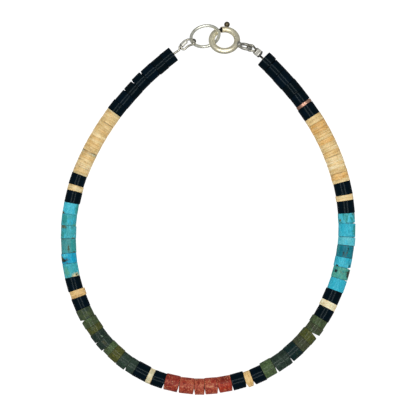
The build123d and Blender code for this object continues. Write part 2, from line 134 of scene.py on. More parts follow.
LOOKS = {
    "jet": [
        Look("jet", "jet_blue", 0.5), Look("jet", "jet_brown", 0.5), Look("jet_blue", "jet", 0.5)],
    "jet_run_right": [
        Look("jet", "jet_blue", 0.5), Look("jet", "jet_brown", 0.5), Look("jet_blue", "jet", 0.5),
        Look("jet", "jet_blue", 0.5, ends=1.0), Look("jet", "jet_brown", 0.5)],
    "copper_disc": [Look("copper", "copper")],
    "shell_run_left": [
        Look("khaki", "buff"), Look("buff", "honey"), Look("cream", "pale", ends=0.6),
        Look("buff", "cream"), Look("buff", "cream", ends=0.7), Look("buff", "honey"),
        Look("buff", "cream"), Look("buff", "honey"), Look("honey", "buff"), Look("buff", "honey"),
        Look("cream", "pale", 0.5), Look("honey", "tan"), Look("cream", "buff"),
        Look("honey", "buff"), Look("honey", "buff"), Look("buff", "tan"),
        Look("buff", "khaki", ends=1.0), Look("ash", "tan", 0.6), Look("buff", "cream"),
        Look("honey", "buff"), Look("cream", "buff", ends=1.0), Look("cream", "pale"),
        Look("pale", "cream", 0.5, ends=0.8), Look("buff", "khaki"), Look("buff", "honey"),
        Look("khaki", "pale")],
    "shell_run_right": [
        Look("cream", "khaki"), Look("orange", "honey"), Look("orange", "tan", ends=0.6),
        Look("buff", "cream"), Look("buff", "honey"), Look("pale", "cream"), Look("cream", "honey"),
        Look("pale", "cream"), Look("cream", "honey", ends=0.7), Look("honey", "cream"),
        Look("honey", "buff"), Look("cream", "pale"), Look("cream", "buff"),
        Look("buff", "cream"), Look("orange", "honey"), Look("orange", "honey", ends=0.6),
        Look("buff", "cream"), Look("honey", "buff"), Look("honey", "cream"),
        Look("orange", "honey"), Look("orange", "tan"), Look("orange", "tan", 0.3, ends=1.0),
        Look("buff", "cream"), Look("buff", "khaki")],
    "shell_bead_1": [Look("khaki", "cream", 0.6)],
    "shell_bead_2": [Look("honey", "tan", 0.6)],
    "shell_bead_3": [Look("ash", "pale", 0.5, ends=0.8)],
    "shell_bead_4": [Look("honey", "tan", 0.5)],
    "shell_bead_5": [Look("ivory", "pale", 0.4, spots=[(0.3, 0.0, 0.3, 0.6, "ivory")])],
    "shell_bead_6": [Look("cream", "khaki", 0.6)],
    "turquoise_run_left": [
        Look("cyan", "blue", 0.3, 0.1, spots=[(0.0, 1.35, 0.45, 2.4, "teal"),
                                              (1.0, -1.25, 0.3, 1.0, "matrix")]),
        Look("lagoon", "blue", 0.4, 0.2, spots=[(-0.1, -0.75, 0.55, 1.7, "teal"),
                                              (1.0, 1.2, 0.4, 1.0, "sea")]),
        Look("lagoon", "cyan", 0.4, 0.3, spots=[(-1.0, -0.9, 0.55, 0.7, "matrix"),
                                              (1.15, 1.0, 0.28, 0.8, "matrix"),
                                              (0.4, -1.1, 0.4, 1.5, "teal")]),
        Look("reef", "lagoon", 0.5, 0.3, spots=[(0.4, 0.0, 0.11, 6.0, "moss"),
                                              (0.0, 1.0, 0.65, 2.2, "teal"),
                                              (1.2, 1.05, 0.22, 1.0, "moss")]),
        Look("vivid", "blue", 0.3, 0.4, spots=[(0.35, -0.9, 0.62, 0.5, "soot"),
                                               (-0.1, -1.3, 0.3, 1.6, "moss"),
                                               (-0.6, -0.7, 0.5, 0.8, "cyan")]),
        Look("lagoon", "cyan", 0.4, 0.1, spots=[(0.2, -0.8, 0.5, 2.0, "sea"),
                                              (1.2, 0.75, 0.75, 0.75, "bone"),
                                              (1.0, 1.0, 0.2, 1.0, "moss")])],
    "turquoise_run_right": [
        Look("blue", "cyan", 0.3, 0.1),
        Look("sea", "teal", 0.5, 0.3, spots=[(0.15, 1.1, 0.3, 1.2, "soot"),
                                             (0.1, -1.35, 0.35, 2.4, "slate")]),
        Look("blue", "cyan", 0.5, 0.2, spots=[(-0.45, -1.25, 0.24, 1.5, "soot"),
                                              (-0.9, 1.0, 0.3, 0.8, "slate")]),
        Look("deep", "teal", 0.4, 0.5, spots=[(-0.5, 0.35, 0.13, 3.5, "soot"),
                                              (0.45, -0.5, 0.13, 4.0, "soot")]),
        Look("mist", "cyan", 0.5, 0.1),
        Look("blue", "cyan", 0.4, 0.2, spots=[(0.0, -1.4, 0.35, 3.0, "teal")]),
        Look("cyan", "teal", 0.6, 0.2, spots=[(-0.5, 1.25, 0.18, 1.4, "matrix"),
                                              (0.8, -1.35, 0.22, 1.0, "matrix")])],
    "green_run_left": [
        Look("moss", "slate", 0.5, 0.3), Look("moss", "jade", 0.5, 0.4), Look("olive", "moss", 0.4),
        Look("pine", "night", 0.3, spots=[(0.5, 0.5, 0.1, 1.4, "lichen")]),
        Look("pine", "slate", 0.6, 0.3, spots=[(0.0, 0.0, 0.35, 1.6, "bark")]),
        Look("jade", "moss", 0.5), Look("olive", "olive", 0.4),
        Look("slate", "pine", 0.5, 0.3), Look("slate", "pine", 0.4, 0.2)],
    "green_run_right": [
        Look("jade", "moss", 0.5, 0.3), Look("slate", "pine", 0.6), Look("pine", "slate", 0.5, 0.3),
        Look("night", "pine", 0.4), Look("bark", "moss", 0.5, 0.3), Look("olive", "moss", 0.4),
        Look("moss", "bark", 0.5, 0.3), Look("moss", "jade", 0.5, 0.3)],
    "coral_run": [
        Look("coral", "rust", 0.5, 0.5, ends=0.7), Look("rose", "coral", 0.5, 0.5, ends=0.8),
        Look("rose", "brick", 0.3, 0.5, ends=0.7, spots=[(-0.5, 1.36, 0.16, 1.6, "moss")]),
        Look("rose", "coral", 0.5, 0.4, ends=0.7, spots=[(0.0, -0.1, 0.12, 5.0, "sand"),
                                                         (0.2, 1.1, 0.5, 1.8, "coral")]),
        Look("flame", "coral", 0.5, 0.6, ends=0.4, spots=[(0.0, 0.9, 0.8, 1.6, "brick")])],
}

# Wedges that stand open between neighbours on the outer side of the loop: the bead of the run
# before the wedge, its width at the rim in millimetres, and how far in it goes in diameters
WEDGES = {
    "jet_run_left": {2: (0.28, 0.22), 3: (0.25, 0.3), 4: (0.2, 0.18)},
    "green_run_left": {0: (0.5, 0.25), 3: (0.16, 0.35), 4: (0.24, 0.32), 6: (0.12, 0.12),
                       7: (0.32, 0.26)},
    "jet_bead_6": {0: (0.34, 0.4)},
    "coral_run": {0: (0.42, 0.55), 1: (0.42, 0.42), 2: (0.32, 0.45), 3: (0.5, 0.45),
                  4: (0.3, 0.42)},
    "jet_bead_7": {0: (0.5, 0.3)},
    "shell_bead_4": {0: (0.5, 0.3)},
    "green_run_right": {0: (0.42, 0.5), 2: (0.3, 0.5), 5: (0.7, 0.5)},
    "turquoise_run_right": {0: (0.16, 0.2), 1: (0.4, 0.25), 4: (0.08, 0.3), 5: (0.22, 0.2)},
    "jet_bead_13": {0: (0.12, 0.15)},
    "copper_disc": {0: (0.12, 0.15)},
    "jet_run_right": {3: (0.2, 0.1)},
}
NO_WEDGE = (0.0, 0.5)

# How far a bead sits towards the inner side of the loop, in millimetres, beside its neighbours
NUDGES = {
    "shell_bead_2": {0: 0.08}, "shell_bead_4": {0: -0.15}, "jet_bead_8": {0: -0.12},
    "green_run_left": {2: 0.05, 4: -0.05}, "green_run_right": {5: 0.08, 6: -0.08},
}

# Shape of a bead in the picture
BORE_RADIUS = 0.45
BEAD_GAP = 0.012        # between neighbours that touch
LEAN = 0.012            # by which a joint between two beads stands askew at most
LEAST_RISE = 0.028      # by which it leans out of the upright, so that no light falls through
MOST_RISE = 0.036
SEGMENTS = 80           # round a bead
EDGE = 0.07             # worn outer edge of a bead
DISC_EDGE = 0.022
LONGEST_DISC = 0.9      # a shorter bead is a disc, with a sharper edge and fewer rings
BORE_LIP = 0.03         # worn edge of the bore
SIDE_RINGS = 9          # of vertices along a bead's side
DISC_SIDE_RINGS = 3
CORNER_TURNS = (90, 68, 45, 22, 0)      # places of the rings on its worn edge, in degrees
FLAT_SHARES = (0.0, 0.3, 0.55, 0.8)     # and on its flat end, from the bore outwards
WAVINESS = 0.012        # of a bead's outline, as a share of its radius
WAVES = 0.9             # of them round a bead
CHIP_DEPTH = 0.05
CHIP_REACH = 0.2        # of a chip from the outer edge
CHIPS_ALONG = 3
CHIPS_ROUND = 1.9
CHIP_PLACE = 1.7        # moves the chips away from the waves in the noise
CHIP_RARENESS = 0.22    # higher leaves fewer chips
CHIP_STEEPNESS = 3
JOINT_SEED = 1000
PATTERN_SEED = 500
SHAPE_SPREAD = 40       # of the places in the noise where the beads' shapes are read
PATTERN_SPREAD = 50     # the same for their patterns

# Light, in the same units as the floor's own brightness
RING_ANGLE = 22.0       # from straight up, seen from the middle of the table
RING_SPREAD = 8.0
RING_HEIGHT = 0.62      # metres
RING_LIGHTS = 16
RING_POWER = 8.0
SKY_COLOUR = (0.17, 0.175, 0.18)
SKY_STRENGTH = 1.0
TABLE_GLOW = 0.9
TABLE_GREY = 0.3
TABLE_GRAIN = 900.0
TABLE_SIZE = 1.2        # metres
TABLE_DROP = 0.00002    # so that the beads' rims don't cut the table, in metres
LIGHT_ON_STONES = 1.04  # by which a stone's own colour is brighter than it looks in this light
BRIGHTEST = 0.92        # that a stone may be

# The photograph's frame
FRAME_WIDTH = 79.04
CAMERA_CENTRE = (-0.02, -0.004)
CAMERA_PLANE = 1.5      # height of the beads' middle, where the frame is measured
LENS = 200.0
SENSOR = 36.0


def linear(tint, gain=1.0):
    """A tint as linear light, with an alpha of 1."""
    def channel(value):
        share = value / 255
        return share / 12.92 if share <= 0.04045 else ((share + 0.055) / 1.055) ** 2.4
    return tuple(min(BRIGHTEST, gain * channel(value)) for value in TINTS[tint]) + (1.0,)


def route_at(distance):
    """Place, heading in radians and curvature of the string at a distance from its left end."""
    x, y, heading = 0.0, 0.0, math.radians(START_HEADING)
    arc_length = STRING_LENGTH / len(ROUTE_TURNS)
    for number, turn in enumerate(ROUTE_TURNS):
        curvature = math.radians(turn) / arc_length
        last = number == len(ROUTE_TURNS) - 1
        step = distance if last else min(distance, arc_length)
        end_heading = heading + curvature * step
        x += (math.sin(end_heading) - math.sin(heading)) / curvature
        y -= (math.cos(end_heading) - math.cos(heading)) / curvature
        heading = end_heading
        distance -= step
        if distance <= 0:
            break
    return x, y, heading, curvature


STRING_LENGTH = sum(run.unit_pitch * sum(run.pitches) for run in RUNS)
Bead = namedtuple("Bead", "centre heading radius length curvature look before after number")
Joint = namedtuple("Joint", "lean rise wedge depth")


def joint_after(run, number, count):
    """How two neighbours meet: the same for the bead before and the bead after."""
    chance = random.Random(JOINT_SEED + count)
    width, depth = WEDGES.get(run.node, {}).get(number, NO_WEDGE)
    rise = chance.choice((-1, 1)) * chance.uniform(LEAST_RISE, MOST_RISE)
    return Joint(chance.uniform(-LEAN, LEAN), rise, width, depth)


def beads_of(run, start, before, count):
    """The beads of a run: where each lies, its size, its look and how it meets its neighbours."""
    looks = LOOKS.get(run.node) or LOOKS[run.stone]
    distance = start
    made = []
    for number, share in enumerate(run.pitches):
        pitch = share * run.unit_pitch
        x, y, heading, curvature = route_at(distance + pitch / 2)
        unevenness = run.unit_pitch / BEAD_PITCH
        wave = unevenness * math.sin(DIAMETER_WAVE * number + start)
        radius = run.diameter * BEAD_DIAMETER * (1 + UNEVEN_DIAMETER * wave) / 2
        shift = unevenness * UNEVEN_SEAT * math.sin(SEAT_WAVE * number + start)
        shift += NUDGES.get(run.node, {}).get(number, 0.0)
        centre = Vector((x - math.sin(heading) * shift, y + math.cos(heading) * shift, radius))
        after = joint_after(run, number, count)
        made.append(Bead(centre, heading, radius, pitch - BEAD_GAP, curvature,
                         looks[number % len(looks)], before, after, count))
        before = after
        distance += pitch
        count += 1
    return made


def bead_profile(half, radius, edge, rings):
    """Half a bead's section as distance along the bore and distance from it, from its bore to
    its bore on the other end."""
    corner = [(half - edge + edge * math.sin(turn), radius - edge + edge * math.cos(turn))
              for turn in map(math.radians, CORNER_TURNS)]
    flat = [(half, BORE_RADIUS + BORE_LIP + (radius - edge - BORE_RADIUS - BORE_LIP) * share)
            for share in FLAT_SHARES]
    front = [(half - BORE_LIP, BORE_RADIUS)] + flat + corner
    side = [((half - edge) * (1 - 2 * number / (rings + 1)), radius)
            for number in range(1, rings + 1)]
    return front + side + [(-x, r) for x, r in reversed(front)]


def end_offset(bead, joint, side, y, z):
    """How far out from its mean an end of a bead lies: neighbours share one leaning plane, and a
    wedge between them opens towards the outer rim."""
    offset = -side * joint.lean * y - side * joint.rise * z
    inside = 2 * joint.depth - 1
    share = max(0.0, inside - y / bead.radius) / (inside + 1)
    return -bead.length / 2 * bead.curvature * y - offset - joint.wedge / 2 * share


def bead_vertices(bead):
    """Vertices of one bead round its own middle, in millimetres, and its number of rings."""
    half = bead.length / 2
    disc = bead.length < LONGEST_DISC
    profile = bead_profile(half, bead.radius, DISC_EDGE if disc else EDGE,
                           DISC_SIDE_RINGS if disc else SIDE_RINGS)
    chance = random.Random(bead.number)
    offset = Vector([chance.uniform(-SHAPE_SPREAD, SHAPE_SPREAD) for _ in range(3)])
    out = []
    for x, r in profile:
        for segment in range(SEGMENTS):
            turn = 2 * math.pi * segment / SEGMENTS
            round_about = Vector((math.cos(turn), math.sin(turn), 0))
            waviness = noise.noise(round_about * WAVES + offset) * WAVINESS
            rr = r * (1 + waviness * (r / bead.radius) ** 2)
            near_edge = max(0.0, 1 - math.hypot(abs(x) - half, r - bead.radius) / CHIP_REACH)
            spot = Vector((x * CHIPS_ALONG, turn * CHIPS_ROUND, 0)) + offset * CHIP_PLACE
            bite = noise.noise(spot) - CHIP_RARENESS
            if near_edge and bite > 0:
                rr -= CHIP_DEPTH * near_edge * min(1.0, bite * CHIP_STEEPNESS)
            y, z = rr * math.cos(turn), rr * math.sin(turn)
            side = 1 if x > 0 else -1
            joint = bead.after if x > 0 else bead.before
            moved = side * end_offset(bead, joint, side, y, z) * abs(x) / half
            out.append(Vector((x + moved, y, z)))
    return out, len(profile)


def smooth_object(name, vertices, faces):
    """A smooth-shaded mesh object whose vertices are in metres."""
    mesh = bpy.data.meshes.new(name)
    mesh.from_pydata(vertices, [], faces)
    mesh.update()
    mesh.polygons.foreach_set("use_smooth", [True] * len(mesh.polygons))
    built = bpy.data.objects.new(name, mesh)
    bpy.context.scene.collection.objects.link(built)
    return built


def ring_faces(rings, segments, base=0):
    """Faces between closed rings of vertices, and between the last ring and the first."""
    faces = []
    for ring in range(rings):
        following = (ring + 1) % rings
        for segment in range(segments):
            beside = (segment + 1) % segments
            faces.append([base + row * segments + column for row, column in (
                (ring, segment), (following, segment), (following, beside), (ring, beside))])
    return faces


def add_attribute(mesh, name, kind, values):
    """A value, vector or colour for each vertex, which a material reads by name."""
    field = {"FLOAT": "value", "FLOAT_VECTOR": "vector", "FLOAT_COLOR": "color"}[kind]
    attribute = mesh.attributes.new(name, kind, "POINT")
    flat = values if kind == "FLOAT" else [part for value in values for part in value]
    attribute.data.foreach_set(field, flat)


NO_SPOT = (0.0, 0.0, 0.0001, 1.0, "jet")     # too small to show
MOST_SPOTS = 3


def make_run(run, beads, shift):
    """One object for a run, with a closed mesh a bead and the looks in its attributes."""
    vertices, faces = [], []
    local, pattern, tint, second, traits, along = [], [], [], [], [], []
    spot_places = [[] for _ in range(MOST_SPOTS)]
    spot_tints = [[] for _ in range(MOST_SPOTS)]
    for bead in beads:
        shape, rings = bead_vertices(bead)
        # X runs along the string, Y to the inner side of the loop and Z up.
        place = Matrix.Translation(bead.centre + shift) @ Matrix.Rotation(bead.heading, 4, "Z")
        base = len(vertices)
        chance = random.Random(PATTERN_SEED + bead.number)
        offset = Vector([chance.uniform(-PATTERN_SPREAD, PATTERN_SPREAD) for _ in range(3)])
        vertices += [(place @ point) * MM for point in shape]
        local += shape
        pattern += [point + offset for point in shape]
        along += [point.x / (bead.length / 2) for point in shape]
        gain = LIGHT_ON_STONES
        tint += [linear(bead.look.tint, gain)] * len(shape)
        second += [linear(bead.look.second, gain)] * len(shape)
        traits += [(bead.look.share, bead.look.veins, bead.look.ends)] * len(shape)
        spots = (list(bead.look.spots) + [NO_SPOT] * MOST_SPOTS)[:MOST_SPOTS]
        for number, (x, y, size, stretch, colour) in enumerate(spots):
            spot_places[number].extend([(x, y, size)] * len(shape))
            spot_tints[number].extend([linear(colour, gain)[:3] + (stretch,)] * len(shape))
        faces += ring_faces(rings, SEGMENTS, base)
    built = smooth_object(run.node + "_beads", vertices, faces)
    mesh = built.data
    for name, kind, values in (
            ("local", "FLOAT_VECTOR", local), ("pattern", "FLOAT_VECTOR", pattern),
            ("tint", "FLOAT_COLOR", tint), ("second", "FLOAT_COLOR", second),
            ("traits", "FLOAT_VECTOR", traits), ("along", "FLOAT", along)):
        add_attribute(mesh, name, kind, values)
    for number in range(MOST_SPOTS):
        add_attribute(mesh, f"spot_{number}", "FLOAT_VECTOR", spot_places[number])
        add_attribute(mesh, f"spot_tint_{number}", "FLOAT_COLOR", spot_tints[number])
    mesh.materials.append(STONES[run.stone])
    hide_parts(run.node)
    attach(built, "bracelet")


class Tree:
    """A material's nodes, added one after another and wired by name."""

    def __init__(self, name):
        self.material = bpy.data.materials.new(name)
        self.material.use_nodes = True
        self.nodes = self.material.node_tree.nodes
        self.links = self.material.node_tree.links
        self.shader = self.nodes["Principled BSDF"]

    def add(self, kind, inputs=(), **settings):
        made = self.nodes.new(kind)
        for key, value in settings.items():
            setattr(made, key, value)
        for key, value in dict(inputs).items():
            self.put(made, key, value)
        return made

    def put(self, made, key, value):
        if isinstance(value, bpy.types.NodeSocket):
            self.links.new(value, made.inputs[key])
        else:
            made.inputs[key].default_value = value

    def set(self, **inputs):
        for key, value in inputs.items():
            self.put(self.shader, key.replace("_", " "), value)

    def attribute(self, name):
        return self.add("ShaderNodeAttribute", attribute_name=name).outputs

    def maths(self, operation, first, second=0.0, clamp=False):
        made = self.add("ShaderNodeMath", {0: first, 1: second}, operation=operation,
                        use_clamp=clamp)
        return made.outputs[0]

    def vector(self, operation, first, second=(0, 0, 0)):
        made = self.add("ShaderNodeVectorMath", {0: first, 1: second}, operation=operation)
        return made.outputs["Value" if operation in ("LENGTH", "DOT_PRODUCT") else "Vector"]

    def noise(self, where, scale, detail=3.0, roughness=0.5, distortion=0.0):
        return self.add("ShaderNodeTexNoise", {
            "Vector": where, "Scale": scale, "Detail": detail, "Roughness": roughness,
            "Distortion": distortion}).outputs

    def grain(self, where, stretch, *settings):
        """Noise that is finer along one axis than along another."""
        return self.noise(self.vector("MULTIPLY", where, stretch), *settings)["Fac"]

    def between(self, value, low, high, start=0.0, end=1.0):
        """The value's place between two limits, eased, as a number from start to end."""
        made = self.add("ShaderNodeMapRange", {"Value": value, "From Min": low, "From Max": high,
                                               "To Min": start, "To Max": end},
                        interpolation_type="SMOOTHSTEP")
        return made.outputs["Result"]

    def mix(self, share, first, second, blend="MIX"):
        made = self.add("ShaderNodeMix", data_type="RGBA", blend_type=blend)
        # The node has sockets of one name for each kind of data: 0, 6 and 7 are the colour's.
        for socket, value in ((0, share), (6, first), (7, second)):
            self.put(made, socket, value)
        return made.outputs[2]

    def shade(self, colour, value, low, high, share, tone):
        """The colour multiplied by a tone where the value lies past the low limit."""
        part = self.between(value, low, high, 0.0, share)
        return self.mix(part, colour, tone + (1.0,), "MULTIPLY")

    def bump(self, height, strength, distance):
        made = self.add("ShaderNodeBump",
                        {"Height": height, "Strength": strength, "Distance": distance})
        self.links.new(made.outputs["Normal"], self.shader.inputs["Normal"])


# Where in the noise a bead's second tint starts to show, by how much a full share of it lowers
# that, and over how much the two tints blend
MOTTLE_START = 0.62
MOTTLE_DROP = 0.3
MOTTLE_BLEND = 0.16
SPOT_WOBBLE = 0.9       # of a spot's outline
SPOT_WOBBLES = 2.6      # in a millimetre
SPOT_OUTSIDE = 1.3      # where a spot fades out, and where it is full, as shares of its size
SPOT_INSIDE = 0.55
# Where a bead's darkened ends begin, as a share of the way from its middle, and for the far end of
# a disc how much nearer the middle it begins on the darkest
END_START = 0.88
FAR_END_START = 0.8
FAR_END_REACH = 0.35


def stone_base(tree, mottle_scale, stretch=(1, 1, 1), distortion=0.4):
    """The two tints of a bead, mottled, with its spots. Returns the colour, and the bead's traits
    and place in the pattern."""
    pattern = tree.attribute("pattern")["Vector"]
    stretched = tree.vector("MULTIPLY", pattern, stretch)
    traits = tree.add("ShaderNodeSeparateXYZ", {0: tree.attribute("traits")["Vector"]}).outputs
    mottle = tree.noise(stretched, mottle_scale, 5.0, 0.6, distortion)["Fac"]
    low = tree.maths("SUBTRACT", MOTTLE_START, tree.maths("MULTIPLY", traits["X"], MOTTLE_DROP))
    high = tree.maths("ADD", low, MOTTLE_BLEND)
    share = tree.between(mottle, low, high)
    colour = tree.mix(share, tree.attribute("tint")["Color"], tree.attribute("second")["Color"])
    local = tree.attribute("local")["Vector"]
    wobble = tree.noise(pattern, SPOT_WOBBLES, 3.0)["Color"]
    wobble = tree.vector("SUBTRACT", wobble, (0.5, 0.5, 0.5))
    wobbly = tree.vector("ADD", local, tree.vector("MULTIPLY", wobble, (SPOT_WOBBLE,) * 3))
    for number in range(MOST_SPOTS):
        place = tree.attribute(f"spot_{number}")["Vector"]
        tint = tree.attribute(f"spot_tint_{number}")
        apart = tree.add("ShaderNodeSeparateXYZ",
                         {0: tree.vector("SUBTRACT", wobbly, place)}).outputs
        size = tree.add("ShaderNodeSeparateXYZ", {0: place}).outputs["Z"]
        across = tree.maths("DIVIDE", apart["Y"], size)
        lengthwise = tree.maths("DIVIDE", apart["X"], tree.maths("MULTIPLY", size, tint["Alpha"]))
        away = tree.maths("SQRT", tree.maths("ADD", tree.maths("MULTIPLY", across, across),
                                             tree.maths("MULTIPLY", lengthwise, lengthwise)))
        colour = tree.mix(tree.between(away, SPOT_OUTSIDE, SPOT_INSIDE), colour, tint["Color"])
    return colour, traits, pattern


def darker_ends(tree, colour, traits, pattern, amount, end_tint="brown"):
    """Both ends of a bead darkened towards a darker tint, broken up round it."""
    along = tree.maths("ABSOLUTE", tree.attribute("along")["Fac"])
    at_end = tree.between(along, END_START, 1.0)
    broken = tree.between(tree.noise(pattern, 0.8, 2.0)["Fac"], 0.36, 0.56, 0.35, 1.0)
    share = tree.maths("MULTIPLY", tree.maths("MULTIPLY", at_end, traits["Z"]), amount)
    return tree.mix(tree.maths("MULTIPLY", share, broken, clamp=True), colour, linear(end_tint))


def dark_far_end(tree, colour, traits, pattern):
    """A broken dark line at the far end of a disc whose ends are darker than most."""
    nearer = tree.maths("MULTIPLY", traits["Z"], FAR_END_REACH)
    start = tree.maths("SUBTRACT", FAR_END_START, nearer)
    at_end = tree.between(tree.attribute("along")["Fac"], start, 1.0)
    broken = tree.between(tree.noise(pattern, 0.7, 3.0)["Fac"], 0.4, 0.58, 0.25, 1.0)
    share = tree.maths("MULTIPLY", at_end, tree.between(traits["Z"], PLAIN_ENDS, 1.0))
    return tree.mix(tree.maths("MULTIPLY", share, broken, clamp=True), colour, linear("brown"))


def jet_material():
    tree = Tree("jet_polished")
    colour, traits, pattern = stone_base(tree, 1.3)
    scratches = tree.grain(pattern, (26.0, 1.5, 1.5), 1.0, 3.0, 0.6)
    # Painted shade: the jet beads' ends are blackened for the dark line in the gap between
    # neighbours.
    colour = darker_ends(tree, colour, traits, pattern, 2.2, "ink")
    tree.set(Base_Color=colour, Roughness=tree.between(scratches, 0.3, 0.75, 0.14, 0.26),
             Specular_IOR_Level=0.085, Specular_Tint=(0.8, 0.97, 1.0, 1.0))
    tree.bump(scratches, 0.25, 0.004 * MM)
    return tree.material


def shell_material():
    tree = Tree("shell_ground")
    colour, traits, pattern = stone_base(tree, 1.2, (1.2, 0.8, 0.8))
    layers = tree.grain(pattern, (2.6, 0.4, 0.4), 1.0, 3.0, 0.6, 0.2)
    colour = tree.shade(colour, layers, 0.5, 0.64, 0.8, (0.78, 0.7, 0.58))
    colour = tree.shade(colour, layers, 0.5, 0.38, 0.8, (1.12, 1.16, 1.3))
    speckle = tree.grain(pattern, (2.0, 3.0, 3.0), 1.5, 3.0, 0.7)
    colour = tree.mix(tree.between(speckle, 0.55, 0.75, 0.0, 0.2), colour, linear("orange"))
    grain = tree.grain(pattern, (4.5, 3.2, 3.2), 1.0, 2.0, 0.7)
    colour = tree.shade(colour, grain, 0.5, 0.62, 0.8, (0.82, 0.77, 0.68))
    colour = tree.shade(colour, grain, 0.49, 0.37, 0.8, (1.1, 1.13, 1.2))
    colour = dark_far_end(tree, colour, traits, pattern)
    tree.set(Base_Color=colour, Roughness=tree.between(speckle, 0.3, 0.7, 0.34, 0.5),
             Specular_IOR_Level=0.3, Subsurface_Weight=0.1, Subsurface_Radius=(0.9, 0.6, 0.35),
             Subsurface_Scale=0.3 * MM)
    tree.bump(tree.mix(0.5, layers, speckle), 0.3, 0.02 * MM)
    return tree.material


def turquoise_material():
    tree = Tree("turquoise_polished")
    colour, traits, pattern = stone_base(tree, 0.9, (0.8, 1.3, 1.3), 0.8)
    bent = tree.vector("ADD", pattern, tree.vector(
        "MULTIPLY", tree.noise(pattern, 1.4, 4.0)["Color"], (1.6, 1.6, 1.6)))
    web = tree.add("ShaderNodeTexVoronoi", {"Vector": bent, "Scale": 0.75},
                   feature="DISTANCE_TO_EDGE").outputs["Distance"]
    where = tree.between(tree.noise(pattern, 0.8, 2.0)["Fac"], 0.45, 0.6)
    line = tree.maths("MULTIPLY", tree.between(web, 0.04, 0.0), where)
    line = tree.maths("MULTIPLY", line, tree.between(traits["Y"], 0.0, 0.5), clamp=True)
    colour = tree.mix(line, colour, linear("brown"))
    streaks = tree.grain(pattern, (0.7, 4.0, 4.0), 1.2, 3.0, 0.6, 0.4)
    across = tree.grain(pattern, (4.0, 0.8, 0.8), 1.2, 3.0, 0.6, 0.4)
    colour = tree.shade(colour, streaks, 0.51, 0.66, 0.9, (0.5, 0.72, 0.76))
    colour = tree.shade(colour, streaks, 0.47, 0.33, 0.9, (1.5, 1.15, 1.12))
    colour = tree.mix(tree.between(across, 0.55, 0.72, 0.0, 0.3), colour, linear("teal"))
    grain = tree.grain(pattern, (3.4, 5.0, 5.0), 1.0, 2.0, 0.7)
    colour = tree.shade(colour, grain, 0.5, 0.62, 0.8, (0.6, 0.78, 0.78))
    colour = tree.shade(colour, grain, 0.49, 0.37, 0.8, (1.4, 1.16, 1.14))
    colour = darker_ends(tree, colour, traits, pattern, 2.4)
    tree.set(Base_Color=colour, Roughness=tree.between(streaks, 0.3, 0.7, 0.28, 0.42),
             Specular_IOR_Level=0.13)
    tree.bump(tree.maths("ADD", tree.maths("MULTIPLY", line, -1.0), streaks), 0.25, 0.015 * MM)
    return tree.material


def green_material():
    tree = Tree("serpentine_polished")
    colour, traits, pattern = stone_base(tree, 1.0, (1.4, 0.8, 0.8), 0.6)
    cloud = tree.grain(pattern, (1.6, 2.4, 2.4), 1.5, 4.0, 0.65, 0.5)
    colour = tree.shade(colour, cloud, 0.5, 0.64, 0.8, (0.58, 0.62, 0.66))
    colour = tree.shade(colour, cloud, 0.47, 0.34, 0.8, (1.45, 1.4, 1.35))
    grain = tree.grain(pattern, (2.2, 5.0, 5.0), 1.0, 2.0, 0.7)
    colour = tree.shade(colour, grain, 0.49, 0.62, 0.7, (0.6, 0.64, 0.66))
    colour = tree.shade(colour, grain, 0.48, 0.36, 0.7, (1.5, 1.45, 1.4))
    colour = darker_ends(tree, colour, traits, pattern, 0.8)
    tree.set(Base_Color=colour, Roughness=tree.between(cloud, 0.3, 0.7, 0.16, 0.3),
             Specular_IOR_Level=0.12, Subsurface_Weight=0.1, Subsurface_Radius=(0.5, 0.8, 0.4),
             Subsurface_Scale=0.5 * MM)
    tree.bump(cloud, 0.15, 0.01 * MM)
    return tree.material


def coral_material():
    tree = Tree("coral_shell_polished")
    colour, traits, pattern = stone_base(tree, 1.3, (1.0, 1.2, 1.2), 1.0)
    grain = tree.grain(pattern, (1.5, 1.0, 1.0), 1.5, 4.0, 0.7, 1.2)
    colour = tree.mix(tree.between(grain, 0.52, 0.6, 0.0, 0.8), colour, linear("rust"))
    colour = tree.mix(tree.between(grain, 0.46, 0.37, 0.0, 0.8), colour, linear("sand"))
    colour = darker_ends(tree, colour, traits, pattern, 1.0)
    tree.set(Base_Color=colour, Roughness=tree.between(grain, 0.3, 0.7, 0.3, 0.5),
             Specular_IOR_Level=0.15)
    tree.bump(grain, 0.3, 0.02 * MM)
    return tree.material


def metal_material(name, bright, dark, rough, worn, layers=(), metallic=1.0):
    """Metal with darker cloudy patches and fine rubbing marks. A layer is a function that gives its
    share at a place, its colour and its roughness."""
    tree = Tree(name)
    place = tree.add("ShaderNodeTexCoord").outputs["Object"]
    where = tree.vector("MULTIPLY", place, (1 / MM,) * 3)
    cloud = tree.noise(where, 1.1, 4.0, 0.6)["Fac"]
    marks = tree.noise(where, 7.0, 4.0, 0.7, 0.4)["Fac"]
    colour = tree.mix(tree.between(cloud, 0.42, 0.68, 0.0, worn), bright + (1.0,), dark + (1.0,))
    roughness = tree.between(marks, 0.3, 0.7, rough - 0.08, rough + 0.12)
    for share_at, tint, rough_there in layers:
        share = share_at(tree, where)
        colour = tree.mix(share, colour, tint + (1.0,))
        roughness = tree.between(share, 0.0, 1.0, roughness, rough_there)
    tree.set(Base_Color=colour, Roughness=roughness, Metallic=metallic)
    tree.bump(tree.mix(0.4, marks, cloud), 0.3, 0.008 * MM)
    return tree.material


